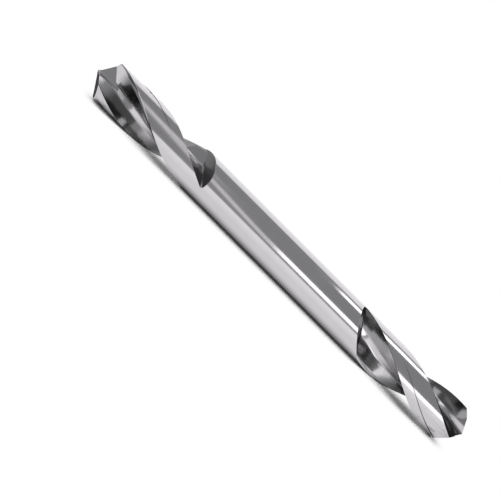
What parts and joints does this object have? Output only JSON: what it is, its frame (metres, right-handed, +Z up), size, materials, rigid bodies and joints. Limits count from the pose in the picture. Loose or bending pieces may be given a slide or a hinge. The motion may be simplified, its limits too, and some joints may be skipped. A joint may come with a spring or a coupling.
{
  "type": "double-ended drill bit",
  "caption": "Short straight drill with a plain round shank in the middle and a two-flute twisted cutting end with a split point on each side.",
  "frame": {"origin": "on the surface that the drill lies on, under the middle of the plain shank", "axes": "+X along the drill's axis, +Z up; the drill lies on its side, with its axis 3 mm above the origin"},
  "size_m": [0.067, 0.006, 0.006],
  "materials": {
    "tool_steel": "bright ground and polished high-speed steel"
  },
  "bodies": {
    "root": {"drill_bit": "tool_steel"}
  },
  "joints": []
}
